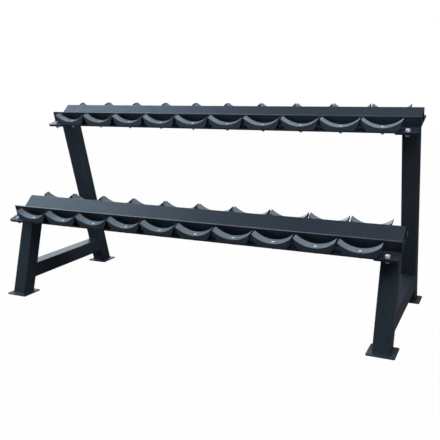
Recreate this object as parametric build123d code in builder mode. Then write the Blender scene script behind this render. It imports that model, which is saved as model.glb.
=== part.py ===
"""Two-tier dumbbell rack: two welded end frames, four rails and a row of moulded saddles on each rail.

+X runs along the tiers to the right, +Y to the back, +Z up. The origin is on the floor,
midway between the end frames and midway between the front and rear feet. Millimetres, degrees.
"""

import os
from math import atan2, copysign, cos, radians, sin, sqrt, tan

from build123d import *

os.makedirs("parts", exist_ok=True)

# Layout of the two tiers
places = 10                  # dumbbells that lie side by side on one tier
saddle_gap = 9               # between neighbouring saddles of a row
end_gap = 17                 # from the last saddle's tip to the rail bolts
tier_tilt = 14.5             # the tiers fall towards the front
lower_tier_height = 383      # floor to the underside of the lower brackets, on the leg's axis
upper_tier_height = 814      # floor to the underside of the upper brackets, on the upright's axis

# End frames
foot_spacing = 646           # between the centres of the front and rear base plates
front_leg_lean = 16          # from vertical, top to the back
upright_lean = 15            # from vertical, top to the front
tube = 68                    # outer width of the square tubes
tube_wall = 3
tube_corner = 2              # radius inside the tubes' corners
tube_trim = 68               # spare length at each end of a leg, cut off flush with its plates
cross_tube_height = 102      # floor to the middle of the cross tubes
plate_size = 108             # square base plates
plate_thickness = 6
plate_corner = 6
bracket_depth = 245          # along the tilt
bracket_width = 80
bracket_reach = 8            # added on the side that faces the middle of the rack
bracket_thickness = 6
bracket_corner = 4

# Front rails: angles with the web behind the saddles
front_rail_flange = 65
front_rail_web = 52
front_rail_wall = 5
front_rail_root = 5          # radius inside the angle
front_rail_toe = 1.5         # rounding at the two free edges
front_rail_corner = 12       # rounding of the flange's two front corners
front_rail_overhang = 2      # past the front edge of the brackets
front_rail_overrun = 5       # past the outer edge of the brackets, at each end

# Rear rails: folded plates with a sloped face, a riser and a flange
rear_rail_flange = 58
rear_rail_rise = 57          # brackets to the crest, before the fold is rounded
rear_rail_wall = 3
rear_rail_fold = 1           # inner radius of the folds
rear_rail_setback = 5        # in from the rear edge of the brackets
face_gap = 6                 # from the front rail's web to the lower edge of the sloped face

# Saddles
saddle_length = 161
saddle_depth = 38
saddle_tip = 50              # height of the tips over the flange
saddle_seat = 17.5           # height of the cradle's lowest line over the flange
saddle_base = 120            # length that rests on the flange
saddle_tip_end = 8           # height of the blunt end under each tip
saddle_bulge = 3             # outward bow of the sides below the tips
saddle_edge = 3              # rounding of the moulded edges

# Saddle screws
screw_diameter = 8
screw_head = 14
screw_head_height = 4.4
screw_head_rim = 1.5         # height of the head's edge, below its dome
screw_recess = 3.5           # depth of the head's seat below the cradle
screw_recess_gap = 2         # around the head
screw_socket = 5             # across the flats of the socket
screw_socket_depth = 2.5
screw_washer = 16
screw_washer_thickness = 1.6
screw_nut = 13               # across the flats
screw_nut_height = 6.5

# Rail bolts
bolt_diameter = 10
bolt_head = 17               # across the flats
bolt_head_height = 6.4
bolt_washer = 21
bolt_washer_thickness = 2
bolt_nut = 17                # across the flats
bolt_nut_height = 8

# Fits shared by screws and bolts
hole_clearance = 0.5         # between a shank and the plate that it passes through
nut_clearance = 0.3          # between a shank and its washers and nut, in place of the thread
thread_end = 3               # what shows of a thread under its nut
thread_chamfer = 1

# Places along the rails
saddle_pitch = saddle_length + saddle_gap
row_length = (places - 1) * saddle_pitch
frame_x = row_length / 2 + saddle_length / 2 + end_gap
rear_rail_length = 2 * frame_x + bracket_width
front_rail_length = rear_rail_length + 2 * front_rail_overrun
saddle_xs = [index * saddle_pitch - row_length / 2 for index in range(places)]
sides = {"left": -frame_x, "right": frame_x}

# Places across a tier, measured back from the middle of the brackets
bracket_front = -bracket_depth / 2
front_flange_edge = bracket_front - front_rail_overhang
front_web_back = front_flange_edge + front_rail_flange
rear_flange_edge = bracket_depth / 2 - rear_rail_setback
riser_back = rear_flange_edge - rear_rail_flange
face_foot = front_web_back + face_gap
front_row = front_flange_edge + saddle_depth / 2
rear_row = rear_flange_edge - saddle_depth / 2

# Tops of the flanges over the underside of the brackets, with the fastener stacks that they set
front_flange_top = bracket_thickness + front_rail_wall
rear_flange_top = bracket_thickness + rear_rail_wall
thickest_wall = max(front_rail_wall, rear_rail_wall)
screw_grip = saddle_seat - screw_recess + thickest_wall
screw_length = screw_grip + screw_washer_thickness + screw_nut_height + thread_end
bolt_length = thickest_wall + bracket_thickness + 2 * bolt_washer_thickness + bolt_nut_height + thread_end

# Axes of the legs and the planes that the tiers stand on
front_foot_y = -foot_spacing / 2
rear_foot_y = foot_spacing / 2
front_leg_axis = (0, sin(radians(front_leg_lean)), cos(radians(front_leg_lean)))
upright_axis = (0, -sin(radians(upright_lean)), cos(radians(upright_lean)))
tier_normal = (0, -sin(radians(tier_tilt)), cos(radians(tier_tilt)))
lower_tier_y = front_foot_y + (lower_tier_height - plate_thickness) * tan(radians(front_leg_lean))
upper_tier_y = rear_foot_y - (upper_tier_height - plate_thickness) * tan(radians(upright_lean))
tiers = {
    "lower": Plane((0, lower_tier_y, lower_tier_height), x_dir=(1, 0, 0), z_dir=tier_normal),
    "upper": Plane((0, upper_tier_y, upper_tier_height), x_dir=(1, 0, 0), z_dir=tier_normal),
}
plate_top = Plane.XY.offset(plate_thickness)


def on_tier(tier, x, back, up):
    """Plane parallel to a tier: along it, back from its middle and up from its brackets' underside."""
    return Plane(tier.from_local_coords(Vector(x, back, up)), x_dir=tier.x_dir, z_dir=tier.z_dir)


def rail_profile_plane(tier):
    """Plane across a tier: its x runs to the back along the tilt and its y stands off the brackets."""
    return Plane(tier.origin, x_dir=tier.y_dir, z_dir=tier.x_dir)


def keep_piece(part, name):
    """Label a finished piece and write it to its own file."""
    part.label = name
    export_step(part, f"parts/{name}.step")


def square_tube_section():
    """Cross-section of the square tube, drawn in the current sketch."""
    inside = tube - 2 * tube_wall
    RectangleRounded(tube, tube, tube_corner + tube_wall)
    RectangleRounded(inside, inside, tube_corner, mode=Mode.SUBTRACT)


# End frames: legs cut flush with plates and brackets, cross tubes cut flush with the legs
for side, x in sides.items():
    front_foot = Vector(x, front_foot_y, plate_thickness)
    rear_foot = Vector(x, rear_foot_y, plate_thickness)
    front_leg_plane = Plane(front_foot, x_dir=(1, 0, 0), z_dir=front_leg_axis)
    upright_plane = Plane(rear_foot, x_dir=(1, 0, 0), z_dir=upright_axis)

    with BuildPart() as front_leg:
        with BuildSketch(front_leg_plane.offset(-tube_trim)):
            square_tube_section()
        extrude(amount=lower_tier_height / cos(radians(front_leg_lean)) + 2 * tube_trim)
        split(bisect_by=plate_top, keep=Keep.TOP)
        split(bisect_by=tiers["lower"], keep=Keep.BOTTOM)
    keep_piece(front_leg.part, f"{side}_front_leg")

    with BuildPart() as upright:
        with BuildSketch(upright_plane.offset(-tube_trim)):
            square_tube_section()
        extrude(amount=upper_tier_height / cos(radians(upright_lean)) + 2 * tube_trim)
        split(bisect_by=plate_top, keep=Keep.TOP)
        split(bisect_by=tiers["upper"], keep=Keep.BOTTOM)
    keep_piece(upright.part, f"{side}_upright")

    # The planes of the leg's back face and the upright's front face trim the cross tube
    leg_back = front_foot + front_leg_plane.y_dir * tube / 2
    leg_back_face = Plane(leg_back, x_dir=(1, 0, 0), z_dir=front_leg_plane.y_dir)
    upright_front = rear_foot - upright_plane.y_dir * tube / 2
    upright_front_face = Plane(upright_front, x_dir=(1, 0, 0), z_dir=upright_plane.y_dir)
    with BuildPart() as cross_tube:
        with BuildSketch(Plane((x, 0, cross_tube_height), x_dir=(1, 0, 0), z_dir=(0, 1, 0))):
            square_tube_section()
        extrude(amount=foot_spacing / 2, both=True)
        split(bisect_by=leg_back_face, keep=Keep.TOP)
        split(bisect_by=upright_front_face, keep=Keep.BOTTOM)
    keep_piece(cross_tube.part, f"{side}_cross_tube")

    for end, foot_y in {"front": front_foot_y, "rear": rear_foot_y}.items():
        with BuildPart() as base_plate:
            with BuildSketch(Plane((x, foot_y, 0))):
                RectangleRounded(plate_size, plate_size, plate_corner)
            extrude(amount=plate_thickness)
        keep_piece(base_plate.part, f"{side}_{end}_base_plate")

    for level, tier in tiers.items():
        with BuildPart() as bracket:
            with BuildSketch(on_tier(tier, x, 0, 0)):
                with Locations((-copysign(bracket_reach / 2, x), 0)):
                    RectangleRounded(bracket_width + bracket_reach, bracket_depth, bracket_corner)
                with Locations((0, front_row), (0, rear_row)):
                    Circle(bolt_diameter / 2 + hole_clearance, mode=Mode.SUBTRACT)
            extrude(amount=bracket_thickness)
        keep_piece(bracket.part, f"{side}_{level}_bracket")


def fastener_holes(tier, row, flange_top):
    """Through holes in a flange for its row of saddle screws and for the bolt at each end."""
    with Locations(on_tier(tier, 0, row, flange_top)):
        with Locations(*[(x, 0) for x in saddle_xs]):
            Hole(screw_diameter / 2 + hole_clearance)
        with Locations(*[(x, 0) for x in sides.values()]):
            Hole(bolt_diameter / 2 + hole_clearance)


# Rails: profiles drawn across the tier and run along it
face_slope = atan2(rear_rail_rise, riser_back - face_foot)
riser_front = riser_back - rear_rail_wall
crest_top = bracket_thickness + rear_rail_rise
crest_inside = crest_top - rear_rail_wall * (tan(face_slope) + 1 / cos(face_slope))
for level, tier in tiers.items():
    with BuildPart() as front_rail:
        with BuildSketch(rail_profile_plane(tier)):
            with BuildLine():
                Polyline(
                    (front_flange_edge, bracket_thickness),
                    (front_web_back, bracket_thickness),
                    (front_web_back, bracket_thickness + front_rail_web),
                    (front_web_back - front_rail_wall, bracket_thickness + front_rail_web),
                    (front_web_back - front_rail_wall, front_flange_top),
                    (front_flange_edge, front_flange_top),
                    close=True,
                )
            make_face()
            root = vertices().sort_by_distance((front_web_back - front_rail_wall, front_flange_top))[0]
            fillet(root, front_rail_root)
            toes = vertices().group_by(Axis.X)[0].sort_by(Axis.Y)[-1:] + vertices().group_by(Axis.Y)[-1]
            fillet(toes, front_rail_toe)
        extrude(amount=front_rail_length / 2, both=True)
        with BuildSketch(on_tier(tier, 0, front_flange_edge, bracket_thickness)):
            Rectangle(front_rail_length, front_rail_flange, align=(Align.CENTER, Align.MIN))
            fillet(vertices().group_by(Axis.Y)[0], front_rail_corner)
        extrude(amount=front_rail_web, mode=Mode.INTERSECT)
        fastener_holes(tier, front_row, front_flange_top)
    keep_piece(front_rail.part, f"{level}_front_rail")

    with BuildPart() as rear_rail:
        with BuildSketch(rail_profile_plane(tier)):
            with BuildLine():
                Polyline(
                    (face_foot, bracket_thickness),
                    (riser_back, crest_top),
                    (riser_back, rear_flange_top),
                    (rear_flange_edge, rear_flange_top),
                    (rear_flange_edge, bracket_thickness),
                    (riser_front, bracket_thickness),
                    (riser_front, crest_inside),
                    (face_foot + rear_rail_wall / sin(face_slope), bracket_thickness),
                    close=True,
                )
            make_face()
            for fold_inside in ((riser_back, rear_flange_top), (riser_front, crest_inside)):
                fillet(vertices().sort_by_distance(fold_inside)[0], rear_rail_fold)
            for fold_outside in ((riser_back, crest_top), (riser_front, bracket_thickness)):
                fillet(vertices().sort_by_distance(fold_outside)[0], rear_rail_fold + rear_rail_wall)
        extrude(amount=rear_rail_length / 2, both=True)
        fastener_holes(tier, rear_row, rear_flange_top)
    keep_piece(rear_rail.part, f"{level}_rear_rail")

# One saddle, standing on z = 0 with its length along x: a cradle with blunt tips and bowed sides
half_top = saddle_length / 2
half_base = saddle_base / 2
blunt_end = saddle_tip - saddle_tip_end
side_length = sqrt((half_top - half_base) ** 2 + blunt_end**2)
side_bow_x = (half_top + half_base) / 2 + saddle_bulge * blunt_end / side_length
side_bow_z = blunt_end / 2 - saddle_bulge * (half_top - half_base) / side_length
cradle_radius = (half_top**2 + (saddle_tip - saddle_seat) ** 2) / (2 * (saddle_tip - saddle_seat))
recess_radius = screw_head / 2 + screw_recess_gap
recess_rim = cradle_radius - sqrt(cradle_radius**2 - recess_radius**2)
with BuildPart() as saddle:
    with BuildSketch(Plane.XZ):
        with BuildLine():
            Line((-half_base, 0), (half_base, 0))
            ThreePointArc((half_base, 0), (side_bow_x, side_bow_z), (half_top, blunt_end))
            Line((half_top, blunt_end), (half_top, saddle_tip))
            ThreePointArc((half_top, saddle_tip), (0, saddle_seat), (-half_top, saddle_tip))
            Line((-half_top, saddle_tip), (-half_top, blunt_end))
            ThreePointArc((-half_top, blunt_end), (-side_bow_x, side_bow_z), (-half_base, 0))
        make_face()
        fillet(vertices().group_by(Axis.Y)[-1], saddle_edge)
    extrude(amount=saddle_depth / 2, both=True)
    rims = faces().filter_by(Axis.Y).edges() - faces().sort_by(Axis.Z)[0].edges()
    fillet(rims, saddle_edge)
    with Locations((0, 0, saddle_seat + recess_rim)):
        CounterBoreHole(screw_diameter / 2 + hole_clearance, recess_radius, screw_recess + recess_rim)

rows = {"front": (front_row, front_flange_top), "rear": (rear_row, rear_flange_top)}
screw_seats = []
screw_undersides = []
for level, tier in tiers.items():
    for row, (back, flange_top) in rows.items():
        for number, x in enumerate(saddle_xs, start=1):
            with BuildPart() as placed_saddle:
                with Locations(on_tier(tier, x, back, flange_top)):
                    add(saddle.part)
            keep_piece(placed_saddle.part, f"{level}_{row}_saddle_{number:02d}")
            screw_seats.append(on_tier(tier, x, back, flange_top + saddle_seat - screw_recess))
            screw_undersides.append(on_tier(tier, x, back, bracket_thickness))


def hex_nut(across_flats, height, bore_radius):
    """Hexagonal nut hanging below z = 0."""
    with BuildPart() as nut:
        with BuildSketch():
            RegularPolygon(across_flats / 2, 6, major_radius=False)
            Circle(bore_radius, mode=Mode.SUBTRACT)
        extrude(amount=-height)
    return nut


def flat_washer(diameter, thickness, bore_radius):
    """Washer hanging below z = 0."""
    with BuildPart() as washer:
        with BuildSketch():
            Circle(diameter / 2)
            Circle(bore_radius, mode=Mode.SUBTRACT)
        extrude(amount=-thickness)
    return washer


def shank(diameter, length):
    """Shank with a chamfered end hanging below z = 0, in the current part."""
    Cylinder(diameter / 2, length, align=(Align.CENTER, Align.CENTER, Align.MAX))
    chamfer(edges().sort_by(Axis.Z)[0], thread_chamfer)


def copies_at(piece, planes):
    """Separate solids, one copy of a piece at each plane."""
    with BuildPart() as group:
        with Locations(*planes):
            add(piece.part)
    return group.part.solids()


# Saddle screws with a domed socket head sunk in the cradle, and a washer and nut under the flange
screw_bore = screw_diameter / 2 + nut_clearance
dome_rise = screw_head_height - screw_head_rim
dome_radius = ((screw_head / 2) ** 2 + dome_rise**2) / (2 * dome_rise)
with BuildPart() as screw:
    shank(screw_diameter, screw_length)
    with BuildSketch(Plane.XZ):
        with BuildLine():
            dome = RadiusArc((screw_head / 2, screw_head_rim), (0, screw_head_height), -dome_radius)
            Polyline(dome @ 1, (0, 0), (screw_head / 2, 0), dome @ 0)
        make_face()
    revolve(axis=Axis.Z)
    with BuildSketch(Plane.XY.offset(screw_head_height)):
        RegularPolygon(screw_socket / 2, 6, major_radius=False)
    extrude(amount=-screw_socket_depth, mode=Mode.SUBTRACT)
small_washer = flat_washer(screw_washer, screw_washer_thickness, screw_bore)
small_nut = hex_nut(screw_nut, screw_nut_height, screw_bore)
saddle_fasteners = Compound(
    children=copies_at(screw, screw_seats)
    + copies_at(small_washer, screw_undersides)
    + copies_at(small_nut, [plane.offset(-screw_washer_thickness) for plane in screw_undersides])
)
keep_piece(saddle_fasteners, "saddle_fasteners")

# Rail bolts with a washer under the head, and a washer and nut under the bracket
bolt_bore = bolt_diameter / 2 + nut_clearance
rail_ends = [
    (tier, x, back, top)
    for tier in tiers.values()
    for x in sides.values()
    for back, top in rows.values()
]
bolt_washer_seats = [on_tier(tier, x, back, top + bolt_washer_thickness) for tier, x, back, top in rail_ends]
bolt_undersides = [on_tier(tier, x, back, 0) for tier, x, back, top in rail_ends]
with BuildPart() as bolt:
    shank(bolt_diameter, bolt_length)
    with BuildSketch():
        RegularPolygon(bolt_head / 2, 6, major_radius=False)
    extrude(amount=bolt_head_height)
large_washer = flat_washer(bolt_washer, bolt_washer_thickness, bolt_bore)
large_nut = hex_nut(bolt_nut, bolt_nut_height, bolt_bore)
rail_fasteners = Compound(
    children=copies_at(bolt, bolt_washer_seats)
    + copies_at(large_washer, bolt_washer_seats + bolt_undersides)
    + copies_at(large_nut, [plane.offset(-bolt_washer_thickness) for plane in bolt_undersides])
)
keep_piece(rail_fasteners, "rail_fasteners")
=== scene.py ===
"""Looks of a two-tier dumbbell rack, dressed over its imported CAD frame. Metres, in the frame's axes."""

import random
from math import cos, pi, radians, sin, sqrt, tan

import bmesh
import bpy
from mathutils import Matrix, Vector


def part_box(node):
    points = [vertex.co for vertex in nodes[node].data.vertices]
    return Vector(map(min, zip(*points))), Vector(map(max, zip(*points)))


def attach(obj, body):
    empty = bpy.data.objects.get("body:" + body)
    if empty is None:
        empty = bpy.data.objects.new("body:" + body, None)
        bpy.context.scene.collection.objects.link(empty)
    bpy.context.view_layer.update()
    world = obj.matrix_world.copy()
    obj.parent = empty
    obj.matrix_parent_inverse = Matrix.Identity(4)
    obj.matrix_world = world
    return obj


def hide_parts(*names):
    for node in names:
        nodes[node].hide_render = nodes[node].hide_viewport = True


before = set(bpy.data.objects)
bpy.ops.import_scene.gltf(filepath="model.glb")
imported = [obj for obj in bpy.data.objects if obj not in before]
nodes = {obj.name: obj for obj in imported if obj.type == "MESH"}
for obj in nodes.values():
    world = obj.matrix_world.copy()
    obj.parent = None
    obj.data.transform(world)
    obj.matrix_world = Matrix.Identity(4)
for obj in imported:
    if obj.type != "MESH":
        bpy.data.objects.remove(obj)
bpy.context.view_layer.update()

bpy.ops.object.select_all(action="DESELECT")


# END-FRAME TUBES. Each end frame has a short front leg, a tall upright and a cross tube, cut from
# square steel tube and welded. They are sprayed with a satin black powder that melts into a thin
# skin with a faint orange peel, and the solids already have the tubes' rounded corners.

def feed(tree, socket, value):
    """Join an output to an input, or give the input a plain value."""
    if isinstance(value, bpy.types.NodeSocket):
        tree.links.new(value, socket)
    else:
        socket.default_value = value


def set_inputs(tree, node, **values):
    """Feed a node's inputs by name, with underscores for the spaces."""
    for name, value in values.items():
        feed(tree, node.inputs[name.replace("_", " ")], value)
    return node


def add_node(tree, kind, **values):
    """A new shader node, with its inputs fed by name."""
    return set_inputs(tree, tree.nodes.new(f"ShaderNode{kind}"), **values)


def noise(tree, place, scale, detail, roughness):
    """The value of a noise pattern at a place."""
    pattern = add_node(tree, "TexNoise", Vector=place, Scale=scale, Detail=detail, Roughness=roughness)
    return pattern.outputs["Fac"]


def mapped(tree, value, low, high, to_low=0.0, to_high=1.0):
    """A value's range from low to high laid onto another range, and held at its ends."""
    ranges = add_node(
        tree, "MapRange", Value=value, From_Min=low, From_Max=high, To_Min=to_low, To_Max=to_high
    )
    return ranges.outputs["Result"]


def maths(tree, operation, *terms):
    """The result of a Math node on outputs and plain numbers."""
    node = tree.nodes.new("ShaderNodeMath")
    node.operation = operation
    for socket, term in zip(node.inputs, terms):
        feed(tree, socket, term)
    return node.outputs["Value"]


def mixed(tree, share, first, second):
    """A colour between two others, each an RGB colour or an output, by the share of the second."""
    mix = tree.nodes.new("ShaderNodeMix")
    mix.data_type = "RGBA"
    # The node's colour sockets stand behind its float and vector ones
    share_index, first_index, second_index, result_index = 0, 6, 7, 2
    feed(tree, mix.inputs[share_index], share)
    for index, colour in ((first_index, first), (second_index, second)):
        feed(tree, mix.inputs[index], (*colour, 1) if isinstance(colour, tuple) else colour)
    return mix.outputs[result_index]


def start_group(name, inputs, outputs):
    """A shader node group with a Place and named values: the group, what enters it and what leaves it."""
    group = bpy.data.node_groups.new(name, "ShaderNodeTree")
    group.interface.new_socket("Place", in_out="INPUT", socket_type="NodeSocketVector")
    for names, way in ((inputs, "INPUT"), (outputs, "OUTPUT")):
        for value_name in names:
            group.interface.new_socket(value_name, in_out=way, socket_type="NodeSocketFloat")
    return group, group.nodes.new("NodeGroupInput").outputs, group.nodes.new("NodeGroupOutput").inputs


def use_group(tree, group, **values):
    """Lay a node group on a material's Object coordinates, and give its outputs."""
    holder = tree.nodes.new("ShaderNodeGroup")
    holder.node_tree = group
    set_inputs(tree, holder, Place=add_node(tree, "TexCoord").outputs["Object"], **values)
    return holder.outputs


def fresh_material(name):
    """A new material, its node tree and its Principled shader."""
    material = bpy.data.materials.new(name)
    material.use_nodes = True
    tree = material.node_tree
    return material, tree, tree.nodes["Principled BSDF"]


grit_share = 0.3
grit_scale = 1900.0
coat_relief = 0.00025
coat_relief_strength = 0.35
noise_middle = (0.3, 0.7)


def build_coat_skin():
    """Powder coat: the ripple of the melted skin, its fine grit, and slow changes from spray and handling."""
    group, enters, leaves = start_group("coat_skin", ("Ripple", "Grit"), ("Height", "Spray", "Handling"))
    place = enters["Place"]
    ripple = noise(group, place, enters["Ripple"], detail=1.0, roughness=0.4)
    grit = noise(group, place, enters["Grit"], detail=2.0, roughness=0.6)
    feed(group, leaves["Height"], maths(group, "MULTIPLY_ADD", grit, grit_share, ripple))
    feed(group, leaves["Spray"], noise(group, place, scale=5.0, detail=3.0, roughness=0.5))
    feed(group, leaves["Handling"], noise(group, place, scale=38.0, detail=6.0, roughness=0.68))
    return group


coat_skin = build_coat_skin()


def powder_coat(name, deep, pale, gloss, ripple=420.0, shine=0.35, edge=0.0012):
    """Satin powder coat between two near-black shades, over a range of roughness, with softened edges."""
    material, tree, shader = fresh_material(name)
    skin = use_group(tree, coat_skin, Ripple=ripple, Grit=grit_scale)
    soft_edge = add_node(tree, "Bevel", Radius=edge).outputs["Normal"]
    relief = add_node(
        tree, "Bump", Strength=coat_relief_strength, Distance=coat_relief,
        Height=skin["Height"], Normal=soft_edge,
    )
    set_inputs(
        tree, shader, IOR=1.5, Specular_IOR_Level=shine,
        Base_Color=mixed(tree, skin["Spray"], deep, pale),
        Roughness=mapped(tree, skin["Handling"], *noise_middle, *gloss),
        Normal=relief.outputs["Normal"],
    )
    return material


def dress(name, material):
    """Give a CAD node its finish."""
    node = nodes[name]
    node.data.materials.clear()
    node.data.materials.append(material)


frame_black = powder_coat(
    "frame_black", deep=(0.0165, 0.0245, 0.034), pale=(0.0245, 0.035, 0.0475), gloss=(0.36, 0.48), edge=0.004
)
for side in ("left", "right"):
    for member in ("front_leg", "upright", "cross_tube"):
        dress(f"{side}_{member}", frame_black)


# BASE PLATES. A square of 6 mm flat steel under each leg, flame cut with rounded corners, edges
# ground and coated together with its leg.

def only(piece):
    """Select one piece alone and make it the active one."""
    bpy.ops.object.select_all(action="DESELECT")
    piece.select_set(True)
    bpy.context.view_layer.objects.active = piece


def edit(piece):
    """Enter edit mode on one piece alone, with nothing in it selected."""
    only(piece)
    bpy.ops.object.mode_set(mode="EDIT")
    bpy.ops.mesh.select_all(action="DESELECT")


def pick(piece, kind, test):
    """Select the vertices, edges or faces of a piece in edit mode that pass a test."""
    mesh = bmesh.from_edit_mesh(piece.data)
    bpy.ops.mesh.select_mode(type=kind)
    for item in {"VERT": mesh.verts, "EDGE": mesh.edges, "FACE": mesh.faces}[kind]:
        item.select_set(bool(test(item)))
    mesh.select_flush_mode()
    bmesh.update_edit_mesh(piece.data)


def leave_edit():
    """Go back to object mode."""
    bpy.ops.object.mode_set(mode="OBJECT")


def settle(piece):
    """Put a piece's place, turn and size into its mesh."""
    only(piece)
    bpy.ops.object.transform_apply(location=True, rotation=True, scale=True)


def finish_piece(piece, name, material):
    """Name a piece, give it its finish and let it ride with the rack."""
    piece.name = name
    piece.data.name = name
    piece.data.materials.clear()
    piece.data.materials.append(material)
    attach(piece, "root")


plate_corner = 0.006
plate_edge = 0.0009
level_within = 0.001


def stands_up(edge):
    """Whether an edge runs up from its lower end."""
    return abs(edge.verts[0].co.z - edge.verts[1].co.z) > level_within


for side in ("left", "right"):
    for end in ("front", "rear"):
        low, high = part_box(f"{side}_{end}_base_plate")
        bpy.ops.mesh.primitive_cube_add(size=1, location=(low + high) / 2)
        plate = bpy.context.object
        plate.scale = high - low
        settle(plate)
        edit(plate)
        pick(plate, "EDGE", stands_up)
        bpy.ops.mesh.bevel(offset=plate_corner, segments=5, affect="EDGES")
        pick(plate, "EDGE", lambda edge: not stands_up(edge))
        bpy.ops.mesh.bevel(offset=plate_edge, segments=2, affect="EDGES")
        leave_edit()
        bpy.ops.object.shade_smooth_by_angle(angle=radians(50))
        finish_piece(plate, f"{side}_{end}_foot_plate", frame_black)
        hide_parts(f"{side}_{end}_base_plate")


# WELDS. A fillet bead runs round each tube end where it meets a plate, a bracket or a leg. The
# hand-laid ripples show through the coat and catch a thin line of light. At the sides of the cross
# tubes the bead is ground nearly flush.

tube_width = 0.068
tube_corner = 0.005
bracket_thickness = 0.006
bead_radius = 0.0038
bead_step = 0.0021
bead_pinch = 0.84
bead_unevenness = (0.95, 1.05)
ground_flush = 0.12
tier_tilt = radians(14.5)
leg_lean = radians(16)
upright_lean = radians(15)
chance = random.Random(4)
weld_black = powder_coat(
    "weld_black", deep=(0.013, 0.019, 0.026), pale=(0.020, 0.028, 0.038), gloss=(0.3, 0.4), ripple=260.0
)


def weld_bead(name, place, turn, along, side_swell=1.0):
    """A rippled bead round a tube end: along is the tube's cut length in the joint's plane."""
    bpy.ops.mesh.primitive_plane_add(size=1)
    bead = bpy.context.object
    bead.scale = (tube_width, along, 1)
    settle(bead)
    edit(bead)
    bpy.ops.mesh.select_all(action="SELECT")
    bpy.ops.mesh.bevel(offset=tube_corner, segments=5, affect="VERTICES")
    pick(bead, "EDGE", lambda edge: edge.calc_length() > 2 * tube_corner)
    bpy.ops.mesh.subdivide(number_cuts=int(tube_width / bead_step))
    bpy.ops.mesh.select_all(action="SELECT")
    bpy.ops.mesh.delete(type="ONLY_FACE")
    leave_edit()
    bpy.ops.object.convert(target="CURVE")
    bead = bpy.context.object
    bead.data.bevel_depth = bead_radius
    bead.data.bevel_resolution = 2
    for spline in bead.data.splines:
        for index, point in enumerate(spline.points):
            swell = 1.0 if index % 2 else bead_pinch
            if abs(point.co.x) > tube_width / 2 - tube_corner / 2:
                swell *= side_swell
            point.radius = swell * chance.uniform(*bead_unevenness)
    bpy.ops.object.convert(target="MESH")
    bead = bpy.context.object
    bead.rotation_euler = (turn, 0, 0)
    bead.location = place
    settle(bead)
    bpy.ops.object.shade_smooth()
    finish_piece(bead, name, weld_black)


leg_x = {}
for side in ("left", "right"):
    low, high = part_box(f"{side}_front_base_plate")
    x, front_y, plate_top = (low.x + high.x) / 2, (low.y + high.y) / 2, high.z
    leg_x[side] = x
    low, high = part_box(f"{side}_rear_base_plate")
    rear_y = (low.y + high.y) / 2
    leg_cut, upright_cut = tube_width / cos(leg_lean), tube_width / cos(upright_lean)
    weld_bead(f"{side}_front_foot_weld", (x, front_y, plate_top), 0, leg_cut)
    weld_bead(f"{side}_rear_foot_weld", (x, rear_y, plate_top), 0, upright_cut)
    # Under the brackets, the joint's plane has the tiers' tilt
    for level, lean in (("lower", leg_lean), ("upper", -upright_lean)):
        low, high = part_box(f"{side}_{level}_bracket")
        middle = Vector((x, (low.y + high.y) / 2, (low.z + high.z) / 2))
        underside = middle + bracket_thickness / 2 * Vector((0, sin(tier_tilt), -cos(tier_tilt)))
        weld_bead(f"{side}_{level}_bracket_weld", underside, tier_tilt, tube_width / cos(lean + tier_tilt))
    # The cross tube's ends lie on the leg's back face and the upright's front face
    low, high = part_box(f"{side}_cross_tube")
    height = (low.z + high.z) / 2
    rise = height - plate_top
    on_leg = Vector((x, front_y + rise * tan(leg_lean) + leg_cut / 2, height))
    on_upright = Vector((x, rear_y - rise * tan(upright_lean) - upright_cut / 2, height))
    weld_bead(f"{side}_cross_front_weld", on_leg, pi / 2 - leg_lean, leg_cut, ground_flush)
    weld_bead(f"{side}_cross_rear_weld", on_upright, pi / 2 + upright_lean, upright_cut, ground_flush)


# BRACKETS. A flat steel plate welded across the top of each leg and upright at the tiers' tilt,
# drilled for one bolt at each end. Coated with the frame.

for side in ("left", "right"):
    for level in ("lower", "upper"):
        dress(f"{side}_{level}_bracket", frame_black)


# RAILS. The front rails are rolled steel angles with their web behind the saddles, and the rear rails
# are folded plates whose sloped face shields the handles. Charcoal powder coat, deeper and glossier
# than the frame's, with a painted highlight along the top edge of the front webs, paler on the lower
# tier.

rail_coat = dict(
    deep=(0.009, 0.014, 0.021), pale=(0.014, 0.020, 0.030), gloss=(0.34, 0.46), shine=0.45, edge=0.003
)
off_tier = Vector((0, -sin(tier_tilt), cos(tier_tilt)))
highlight_depth = 0.004
edge_highlight_grey = {"lower": (0.19, 0.208, 0.232), "upper": (0.075, 0.085, 0.1)}
highlight_ends = (-0.9, 0.9)


def dot(tree, first, second):
    """The dot product of two vectors, each a vector or an output."""
    product = tree.nodes.new("ShaderNodeVectorMath")
    product.operation = "DOT_PRODUCT"
    feed(tree, product.inputs[0], first)
    feed(tree, product.inputs[1], second)
    return product.outputs["Value"]


def build_painted_edge_highlight():
    """How strong a painted highlight is near its Top above the tier: in patches, and strongest at the left
    end.
    """
    group, enters, leaves = start_group("painted_edge_highlight", ("Top",), ("Amount",))
    place = enters["Place"]
    under_top = maths(group, "SUBTRACT", dot(group, place, off_tier), enters["Top"])
    reach = mapped(group, under_top, -highlight_depth, -highlight_depth / 2)
    patches = noise(group, place, scale=30.0, detail=3.0, roughness=0.6)
    # Painted highlight: patchy along the edge, and fading from the bright left end to the right
    patchy_strength = mapped(group, patches, 0.25, 0.55, to_low=0.55, to_high=1.0)
    along = add_node(group, "SeparateXYZ", Vector=place).outputs["X"]
    left_end_light = mapped(group, along, *highlight_ends, to_low=1.0, to_high=0.3)
    feed(group, leaves["Amount"], maths(group, "MULTIPLY", maths(group, "MULTIPLY", reach, patchy_strength), left_end_light))
    return group


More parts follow.
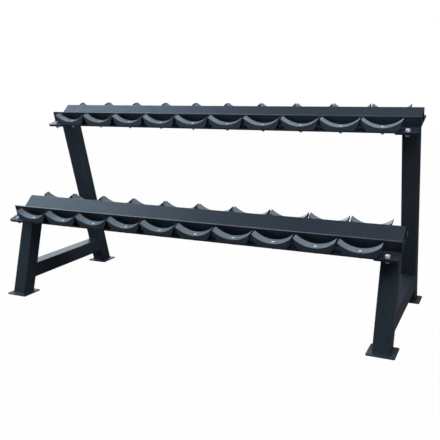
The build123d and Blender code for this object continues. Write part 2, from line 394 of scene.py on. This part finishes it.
painted_edge_highlight = build_painted_edge_highlight()
rail_charcoal = powder_coat("rail_charcoal", **rail_coat)
for level in ("lower", "upper"):
    dress(f"{level}_rear_rail", rail_charcoal)
    angle_charcoal = powder_coat(f"{level}_angle_charcoal", **rail_coat)
    dress(f"{level}_front_rail", angle_charcoal)
    top = max(off_tier.dot(vert.co) for vert in nodes[f"{level}_front_rail"].data.vertices)
    # Painted highlight: along the front web's top edge the base colour is mixed towards a pale grey that
    # stands in for the light the edge catches; the lower tier's grey is the paler
    tree = angle_charcoal.node_tree
    base_colour = tree.nodes["Principled BSDF"].inputs["Base Color"]
    highlight_share = use_group(tree, painted_edge_highlight, Top=top)["Amount"]
    feed(tree, base_colour, mixed(tree, highlight_share, base_colour.links[0].from_socket, edge_highlight_grey[level]))


# SADDLES. Moulded in a hard dark urethane: a shallow round cradle with blunt tips, bowed sides that
# narrow to the base, soft edges all round and a sunk seat for one screw. Fine mould grain.

saddle_length = 0.161
saddle_depth = 0.038
saddle_tip = 0.050
saddle_seat = 0.0175
saddle_base = 0.120
tip_end = 0.008
side_bulge = 0.003
side_steps = 7
seat_radius = 0.0078
seat_depth = 0.0035
seat_cutter = 0.04
edge_round = 0.0011
cradle_round = 0.0035
half_top, half_base = saddle_length / 2, saddle_base / 2
cradle_sag = saddle_tip - saddle_seat
cradle_radius = (half_top**2 + cradle_sag**2) / (2 * cradle_sag)
cradle_axis = Vector((0, saddle_seat + cradle_radius))
cradle_within = 2e-4
across_within = 1e-4
base_within = 1e-5


def bowed_side(share):
    """A point on the saddle's side, from under the tip at 0 to the base at 1, bowed outwards."""
    straight = Vector((half_top + (half_base - half_top) * share, 0, (saddle_tip - tip_end) * (1 - share)))
    outwards = Vector((saddle_tip - tip_end, 0, half_base - half_top)).normalized()
    return straight + outwards * side_bulge * 4 * share * (1 - share)


def on_cradle(vert):
    """Whether a vertex lies on the cradle's arc."""
    return abs((Vector((vert.co.x, vert.co.z)) - cradle_axis).length - cradle_radius) < cradle_within


def cradle_rim(edge):
    """Whether an edge follows the cradle's arc, and doesn't run straight across it."""
    start, stop = edge.verts
    return on_cradle(start) and on_cradle(stop) and abs(start.co.x - stop.co.x) > across_within


bpy.ops.mesh.primitive_circle_add(
    vertices=180, radius=cradle_radius, fill_type="NOTHING",
    location=(0, -saddle_depth / 2, saddle_seat + cradle_radius), rotation=(pi / 2, 0, 0),
)
saddle = bpy.context.object
settle(saddle)
edit(saddle)
bpy.ops.mesh.select_all(action="SELECT")
bpy.ops.mesh.bisect(plane_co=(0, 0, saddle_tip), plane_no=(0, 0, 1), clear_outer=True)
for hand in (-1, 1):
    last = Vector((hand * half_top, -saddle_depth / 2, saddle_tip))
    nearest = min((vert.co - last).length for vert in bmesh.from_edit_mesh(saddle.data).verts)
    pick(saddle, "VERT", lambda vert: (vert.co - last).length == nearest)
    for step in range(side_steps + 1):
        point = bowed_side(step / side_steps)
        point = Vector((hand * point.x, -saddle_depth / 2, point.z))
        bpy.ops.mesh.extrude_region_move(TRANSFORM_OT_translate={"value": point - last})
        last = point
pick(saddle, "VERT", lambda vert: vert.co.z < base_within)
bpy.ops.mesh.edge_face_add()
bpy.ops.mesh.select_all(action="SELECT")
bpy.ops.mesh.edge_face_add()
bpy.ops.mesh.extrude_region_move(TRANSFORM_OT_translate={"value": (0, saddle_depth, 0)})
bpy.ops.mesh.select_all(action="SELECT")
bpy.ops.mesh.normals_make_consistent(inside=False)
pick(saddle, "EDGE", cradle_rim)
bpy.ops.mesh.bevel(offset=cradle_round, segments=4, affect="EDGES")
leave_edit()


def shape_with(piece, tool, operation):
    """Cut a piece with a tool, or keep only what lies inside it, and remove the tool."""
    shaping = piece.modifiers.new("shaping", "BOOLEAN")
    shaping.operation = operation
    shaping.object = tool
    bpy.context.view_layer.objects.active = piece
    bpy.ops.object.modifier_apply(modifier=shaping.name)
    bpy.data.objects.remove(tool)


def round_edges(piece, width, segments, over):
    """Round every edge sharper than an angle, and let the flat faces keep their shading."""
    only(piece)
    rounding = piece.modifiers.new("rounding", "BEVEL")
    rounding.width = width
    rounding.segments = segments
    rounding.limit_method = "ANGLE"
    rounding.angle_limit = over
    bpy.ops.object.modifier_apply(modifier=rounding.name)
    bpy.ops.object.shade_smooth_by_angle(angle=radians(40))
    even = piece.modifiers.new("even", "WEIGHTED_NORMAL")
    even.keep_sharp = True
    bpy.ops.object.modifier_apply(modifier=even.name)


bpy.ops.mesh.primitive_cylinder_add(
    vertices=40, radius=seat_radius, depth=seat_cutter,
    location=(0, 0, saddle_seat - seat_depth + seat_cutter / 2),
)
shape_with(saddle, bpy.context.object, "DIFFERENCE")
round_edges(saddle, edge_round, 4, radians(38))


def build_mould_grain():
    """Moulded skin: a fine pebble from the tool's spark finish, and slow flow marks."""
    group, enters, leaves = start_group("mould_grain", (), ("Pebble", "Flow"))
    pebble = add_node(group, "TexVoronoi", Vector=enters["Place"], Scale=1500.0, Randomness=1.0)
    feed(group, leaves["Pebble"], pebble.outputs["Distance"])
    feed(group, leaves["Flow"], noise(group, enters["Place"], scale=22.0, detail=4.0, roughness=0.6))
    return group


saddle_deep, saddle_pale = (0.030, 0.042, 0.056), (0.039, 0.052, 0.069)
saddle_gloss = (0.36, 0.48)
lit_top_grey = (0.118, 0.147, 0.176)
lit_top_facing = (0.15, 0.6)
saddle_urethane, tree, shader = fresh_material("saddle_urethane")
grain = use_group(tree, build_mould_grain())
# Painted light: faces that look up are mixed towards a paler grey, standing in for the light they catch from
# above
facing = add_node(tree, "NewGeometry").outputs["Normal"]
upward = add_node(tree, "SeparateXYZ", Vector=facing).outputs["Z"]
painted_top_light = mapped(tree, upward, *lit_top_facing)
pebble_relief = add_node(tree, "Bump", Strength=0.3, Distance=0.0001, Height=grain["Pebble"])
set_inputs(
    tree, shader, IOR=1.5, Specular_IOR_Level=0.45,
    Base_Color=mixed(tree, painted_top_light, mixed(tree, grain["Flow"], saddle_deep, saddle_pale), lit_top_grey),
    Roughness=mapped(tree, grain["Flow"], *noise_middle, *saddle_gloss),
    Normal=pebble_relief.outputs["Normal"],
)


def copy_to(master, matrix):
    """A copy of a master piece, with its own mesh, moved into place in its mesh."""
    only(master)
    bpy.ops.object.duplicate(linked=False)
    piece = bpy.context.object
    piece.matrix_world = matrix
    settle(piece)
    return piece


saddle_places = []
saddle_turn = Matrix.Rotation(tier_tilt, 4, "X")
half_depth = saddle_turn @ Vector((0, saddle_depth / 2, 0))
for level in ("lower", "upper"):
    for row in ("front", "rear"):
        for number in range(1, 11):
            name = f"{level}_{row}_saddle_{number:02d}"
            low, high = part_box(name)
            # The base's sharp edges are the lowest and the rearmost of the tilted saddle
            base_middle = Vector(((low.x + high.x) / 2, high.y - half_depth.y, low.z + half_depth.z))
            seat_place = Matrix.Translation(base_middle) @ saddle_turn
            saddle_places.append((row, seat_place))
            moulded = copy_to(saddle, seat_place)
            finish_piece(moulded, f"{level}_{row}_rest_{number:02d}", saddle_urethane)
            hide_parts(name)
bpy.data.objects.remove(saddle)


# SADDLE SCREWS. Each saddle is held by one M8 button-head screw through the rail's flange, with a
# washer and a hexagon nut below. Bright zinc plate with a faint blue-white bloom.

zinc_deep, zinc_pale = (0.62, 0.65, 0.69), (0.82, 0.84, 0.86)
zinc_gloss = (0.26, 0.4)
bright_zinc, tree, shader = fresh_material("bright_zinc")
place = add_node(tree, "TexCoord").outputs["Object"]
bloom = noise(tree, place, scale=160.0, detail=4.0, roughness=0.6)
set_inputs(
    tree, shader, Metallic=0.4,
    Base_Color=mixed(tree, bloom, zinc_deep, zinc_pale),
    Roughness=mapped(tree, bloom, *noise_middle, *zinc_gloss),
)

thread_pitch = 0.00125
thread_root = 0.88
thread_tip = 0.82
thread_start = 0.001
straight_up = 0.9
washer_roll = 0.2
crown_slope = tan(radians(30))
crown_share = 0.97
crown_reach = 0.02
hexagon_edge = 0.0003


def threaded_end(radius, top, bottom):
    """The end of a bolt: a thread of ridges turned down to a chamfered tip, from top to bottom."""
    bpy.ops.mesh.primitive_cylinder_add(
        vertices=28, radius=radius, depth=thread_start, end_fill_type="NGON",
        location=(0, 0, top - thread_start / 2),
    )
    stud = bpy.context.object
    settle(stud)
    edit(stud)
    pick(stud, "FACE", lambda face: face.normal.z < -straight_up)
    depth, wide = top - thread_start, True
    while depth - thread_pitch / 2 > bottom + thread_pitch / 2:
        size = thread_root if wide else 1 / thread_root
        bpy.ops.mesh.extrude_region_move(TRANSFORM_OT_translate={"value": (0, 0, -thread_pitch / 2)})
        bpy.ops.transform.resize(value=(size, size, 1))
        depth, wide = depth - thread_pitch / 2, not wide
    bpy.ops.mesh.extrude_region_move(TRANSFORM_OT_translate={"value": (0, 0, bottom - depth)})
    bpy.ops.transform.resize(value=(thread_tip, thread_tip, 1))
    leave_edit()
    bpy.ops.object.shade_smooth_by_angle(angle=radians(25))
    return stud


def washer(radius, hole, top, thickness):
    """A stamped washer with softly rolled edges."""
    middle = (0, 0, top - thickness / 2)
    bpy.ops.mesh.primitive_cylinder_add(vertices=36, radius=radius, depth=thickness, location=middle)
    ring = bpy.context.object
    settle(ring)
    bpy.ops.mesh.primitive_cylinder_add(vertices=28, radius=hole, depth=4 * thickness, location=middle)
    shape_with(ring, bpy.context.object, "DIFFERENCE")
    round_edges(ring, thickness * washer_roll, 2, radians(50))
    return ring


def hexagon(flats, top, height, crowned):
    """A hexagon nut or bolt head, its corners turned to a cone at the top (True) or underneath (False)."""
    corner = flats / 2 / cos(pi / 6)
    middle = (0, 0, top - height / 2)
    bpy.ops.mesh.primitive_cylinder_add(vertices=6, radius=corner, depth=height, location=middle)
    block = bpy.context.object
    settle(block)
    # A cone takes off the corners at 30 degrees, from just inside the flats' circle on the face
    crown_radius = flats / 2 * crown_share
    for up in crowned:
        face = top if up else top - height
        bpy.ops.mesh.primitive_cone_add(
            vertices=48, radius1=crown_radius + crown_reach / crown_slope, radius2=crown_radius,
            depth=crown_reach,
            location=(0, 0, face - crown_reach / 2 if up else face + crown_reach / 2),
            rotation=(0 if up else pi, 0, 0),
        )
        shape_with(block, bpy.context.object, "INTERSECT")
    round_edges(block, hexagon_edge, 2, radians(20))
    return block


def join_as(pieces, name):
    """Join pieces into one object."""
    bpy.ops.object.select_all(action="DESELECT")
    for piece in pieces:
        piece.select_set(True)
    bpy.context.view_layer.objects.active = pieces[0]
    bpy.ops.object.join()
    joined = bpy.context.object
    joined.name = name
    return joined


head_radius = 0.007
head_rim = 0.0015
head_height = 0.0044
socket_flats = 0.005
socket_depth = 0.0025
socket_cutter = 0.01
dome_steps = 6
dome_rise = head_height - head_rim
dome_radius = (head_radius**2 + dome_rise**2) / (2 * dome_rise)
bpy.ops.mesh.primitive_cylinder_add(
    vertices=40, radius=head_radius, depth=head_rim, location=(0, 0, head_rim / 2),
)
button = bpy.context.object
settle(button)
edit(button)
pick(button, "FACE", lambda face: face.normal.z > straight_up)
last_radius, last_height = head_radius, 0.0
for step in range(1, dome_steps + 1):
    new_radius = head_radius * cos(step / (dome_steps + 1) * pi / 2)
    new_height = sqrt(dome_radius**2 - new_radius**2) - (dome_radius - dome_rise)
    bpy.ops.mesh.extrude_region_move(TRANSFORM_OT_translate={"value": (0, 0, new_height - last_height)})
    bpy.ops.transform.resize(value=(new_radius / last_radius, new_radius / last_radius, 1))
    last_radius, last_height = new_radius, new_height
leave_edit()
bpy.ops.mesh.primitive_cylinder_add(
    vertices=6, radius=socket_flats / 2 / cos(pi / 6), depth=socket_cutter,
    location=(0, 0, head_height - socket_depth + socket_cutter / 2),
)
shape_with(button, bpy.context.object, "DIFFERENCE")
only(button)
bpy.ops.object.shade_smooth_by_angle(angle=radians(35))

screw_radius = 0.004
nut_flats, nut_height = 0.013, 0.0065
washer_radius, washer_thickness = 0.008, 0.0016
hole_clearance = 0.0003
thread_show = 0.003
thread_overlap = 0.001
flange_walls = {"front": 0.005, "rear": 0.003}
thickest_wall = max(flange_walls.values())
hexagon_turn = pi / 3
screws = []
for row, wall in flange_walls.items():
    nut_top = -wall - washer_thickness
    nut_base = nut_top - nut_height
    # The screw's one length leaves a little more thread below the thinner flange
    tip = nut_base - thread_show - (thickest_wall - wall)
    below = [
        washer(washer_radius, screw_radius + hole_clearance, -wall, washer_thickness),
        hexagon(nut_flats, nut_top, nut_height, (True, False)),
        threaded_end(screw_radius, nut_base + thread_overlap, tip),
    ]
    head = copy_to(button, Matrix.Translation((0, 0, saddle_seat - seat_depth)))
    kit = join_as([*below, head], f"{row}_screw_kit")
    for place_row, seat_place in saddle_places:
        if place_row == row:
            spin_turn = Matrix.Rotation(chance.uniform(0, hexagon_turn), 4, "Z")
            screws.append(copy_to(kit, seat_place @ spin_turn))
    bpy.data.objects.remove(kit)
bpy.data.objects.remove(button)
screw_set = join_as(screws, "saddle_screws")
finish_piece(screw_set, "saddle_screws", bright_zinc)
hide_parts("saddle_fasteners")


# RAIL BOLTS. One M10 hexagon bolt joins each rail end to its bracket, with a washer under the head
# and a washer and nut below the plate. The same bright zinc.

bolt_radius = 0.005
bolt_flats, bolt_head_height = 0.017, 0.0064
bolt_nut_height = 0.008
bolt_washer_radius, bolt_washer_thickness = 0.0105, 0.002
bolt_backs = {"front": -0.1055, "rear": 0.0985}
bolt_hole = bolt_radius + hole_clearance
bolts = []
for row, back in bolt_backs.items():
    wall = flange_walls[row]
    washer_top = wall + bracket_thickness + bolt_washer_thickness
    nut_top = -bolt_washer_thickness
    nut_base = nut_top - bolt_nut_height
    tip = nut_base - thread_show - (thickest_wall - wall)
    kit = join_as(
        [
            hexagon(bolt_flats, washer_top + bolt_head_height, bolt_head_height, (True,)),
            washer(bolt_washer_radius, bolt_hole, washer_top, bolt_washer_thickness),
            washer(bolt_washer_radius, bolt_hole, 0, bolt_washer_thickness),
            hexagon(bolt_flats, nut_top, bolt_nut_height, (True, False)),
            threaded_end(bolt_radius, nut_base + thread_overlap, tip),
        ],
        f"{row}_bolt_kit",
    )
    for side in ("left", "right"):
        for level in ("lower", "upper"):
            low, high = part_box(f"{side}_{level}_bracket")
            middle = Vector((leg_x[side], (low.y + high.y) / 2, (low.z + high.z) / 2))
            underside = middle + saddle_turn @ Vector((0, back, -bracket_thickness / 2))
            spin_turn = Matrix.Rotation(chance.uniform(0, hexagon_turn), 4, "Z")
            bolts.append(copy_to(kit, Matrix.Translation(underside) @ saddle_turn @ spin_turn))
    bpy.data.objects.remove(kit)
bolt_set = join_as(bolts, "rail_bolts")
finish_piece(bolt_set, "rail_bolts", bright_zinc)
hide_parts("rail_fasteners")


# STUDIO. A plain pale floor that runs into a white backdrop. Soft lights stand at the left, behind,
# above the right end and over the crest, weak ones fill in the left end frame, and the low right is
# kept dark. The camera has the catalogue view.

floor_size = 24.0
floor_grey = (0.11, 0.11, 0.11, 1)
floor_seen = 0.99
floor_mirrored = 0.03


def mixed_shaders(tree, share, first, second):
    """A blend of two shaders' outputs, by the share of the second."""
    blend = add_node(tree, "MixShader", Fac=share)
    feed(tree, blend.inputs[1], first)
    feed(tree, blend.inputs[2], second)
    return blend.outputs["Shader"]


bpy.ops.mesh.primitive_plane_add(size=floor_size)
floor = bpy.context.object
floor.name = "studio_floor"
floor_white, tree, shader = fresh_material("floor_white")
set_inputs(tree, shader, Base_Color=floor_grey, Roughness=0.9, Specular_IOR_Level=0.0)
glow = add_node(tree, "Emission", Color=(1, 1, 1, 1), Strength=1.0)
rays = add_node(tree, "LightPath").outputs
mirrored = maths(tree, "MAXIMUM", rays["Is Glossy Ray"], rays["Is Transmission Ray"])
dimmed = maths(tree, "MULTIPLY", mirrored, floor_mirrored)
direct = maths(tree, "MULTIPLY_ADD", rays["Is Camera Ray"], floor_seen, dimmed)
blend = mixed_shaders(tree, direct, shader.outputs["BSDF"], glow.outputs["Emission"])
feed(tree, tree.nodes["Material Output"].inputs["Surface"], blend)
floor.data.materials.append(floor_white)

# The backdrop is white behind the rack, bluer overhead, and the room is dim behind the camera
backdrop_middle = Vector((-0.62, 0.66, 0.42)).normalized()
backdrop_edge = (0.47, 0.75)
backdrop_white, overhead_blue = (1.0, 1.0, 1.0), (0.64, 0.83, 1.0)
bluer_height = (0.18, 0.6)
dark_side, dark_share = (-0.45, -0.15), 0.15
dark_height = (0.35, 0.6)
world = bpy.data.worlds.new("studio")
bpy.context.scene.world = world
world.use_nodes = True
tree = world.node_tree
soft = tree.nodes["Background"]
white = tree.nodes.new("ShaderNodeBackground")
towards = add_node(tree, "TexCoord").outputs["Generated"]
axes = add_node(tree, "SeparateXYZ", Vector=towards).outputs
tint = mixed(tree, mapped(tree, axes["Z"], *bluer_height), backdrop_white, overhead_blue)
facing = dot(tree, towards, backdrop_middle)
low_right = mapped(tree, axes["X"], *dark_side, to_low=1.0, to_high=dark_share)
flag = maths(tree, "MAXIMUM", low_right, mapped(tree, axes["Z"], *dark_height))
rays = add_node(tree, "LightPath").outputs
for background, dim, bright in ((soft, 0.14, 0.5), (white, 0.12, 1.0)):
    flagged = maths(tree, "MULTIPLY", mapped(tree, facing, *backdrop_edge, dim, bright), flag)
    set_inputs(tree, background, Color=tint, Strength=maths(tree, "MAXIMUM", flagged, rays["Is Camera Ray"]))
seen = maths(tree, "MAXIMUM", rays["Is Camera Ray"], rays["Is Glossy Ray"])
through = maths(tree, "MAXIMUM", seen, rays["Is Transmission Ray"])
blend = mixed_shaders(tree, through, soft.outputs["Background"], white.outputs["Background"])
feed(tree, tree.nodes["World Output"].inputs["Surface"], blend)


def light_towards(kind, name, place, aim, power, colour):
    """A light of a kind at a place, facing a point."""
    bpy.ops.object.light_add(type=kind, location=place)
    lamp = bpy.context.object
    lamp.name = name
    lamp.rotation_euler = (Vector(aim) - Vector(place)).to_track_quat("-Z", "Y").to_euler()
    lamp.data.energy = power
    lamp.data.color = colour
    return lamp


def softbox(name, place, aim, size, power, colour, glints):
    """A square soft light: it shows only as glints, or it lights the faces and leaves no glint."""
    lamp = light_towards("AREA", name, place, aim, power, colour)
    lamp.data.shape = "SQUARE"
    lamp.data.size = size
    lamp.visible_diffuse = not glints
    lamp.visible_glossy = glints


def snoot(name, place, aim, cone, power, colour):
    """A narrow light with a soft edge that leaves no glint."""
    lamp = light_towards("SPOT", name, place, aim, power, colour)
    lamp.data.spot_size = cone
    lamp.data.spot_blend = 1.0
    lamp.data.shadow_soft_size = 0.1
    lamp.visible_glossy = False


softbox("left_softbox", (-3.3, -0.3, 2.9), (-0.6, 0, 0.5), 2.6, 70.0, (0.68, 0.85, 1.0), glints=True)
softbox("back_softbox", (-2.6, 3.4, 2.1), (0, 0, 0.6), 3.4, 62.0, (0.86, 0.93, 1.0), glints=True)
softbox("overhead_softbox", (1.2, -0.9, 2.3), (0.7, -0.1, 0.5), 1.9, 72.0, (0.96, 0.97, 0.97), glints=False)
softbox("front_fill", (-1.9, -1.6, 0.9), (-0.85, 0, 0.4), 1.2, 18.0, (0.85, 0.95, 1.0), glints=False)
softbox("crest_softbox", (-2.0, 0.95, 3.25), (-0.4, 0.1, 0.85), 1.3, 17.0, (0.58, 0.75, 1.0), glints=True)
snoot("upright_snoot", (1.0, -0.3, 0.6), (-0.87, 0.13, 0.73), radians(20), 90.0, (1.0, 0.92, 0.96))
snoot("cross_tube_snoot", (0.5, 0.6, 0.3), (-0.87, 0.1, 0.28), radians(30), 20.0, (0.94, 0.95, 1.0))

bpy.ops.object.camera_add(
    location=(1.22584, -2.52426, 0.97418), rotation=(radians(77.8207), radians(0.4363), radians(24.9462))
)
camera = bpy.context.object
camera.data.sensor_width = 36.0
camera.data.lens = 50.521
bpy.context.scene.camera = camera
bpy.context.scene.view_settings.view_transform = "Standard"
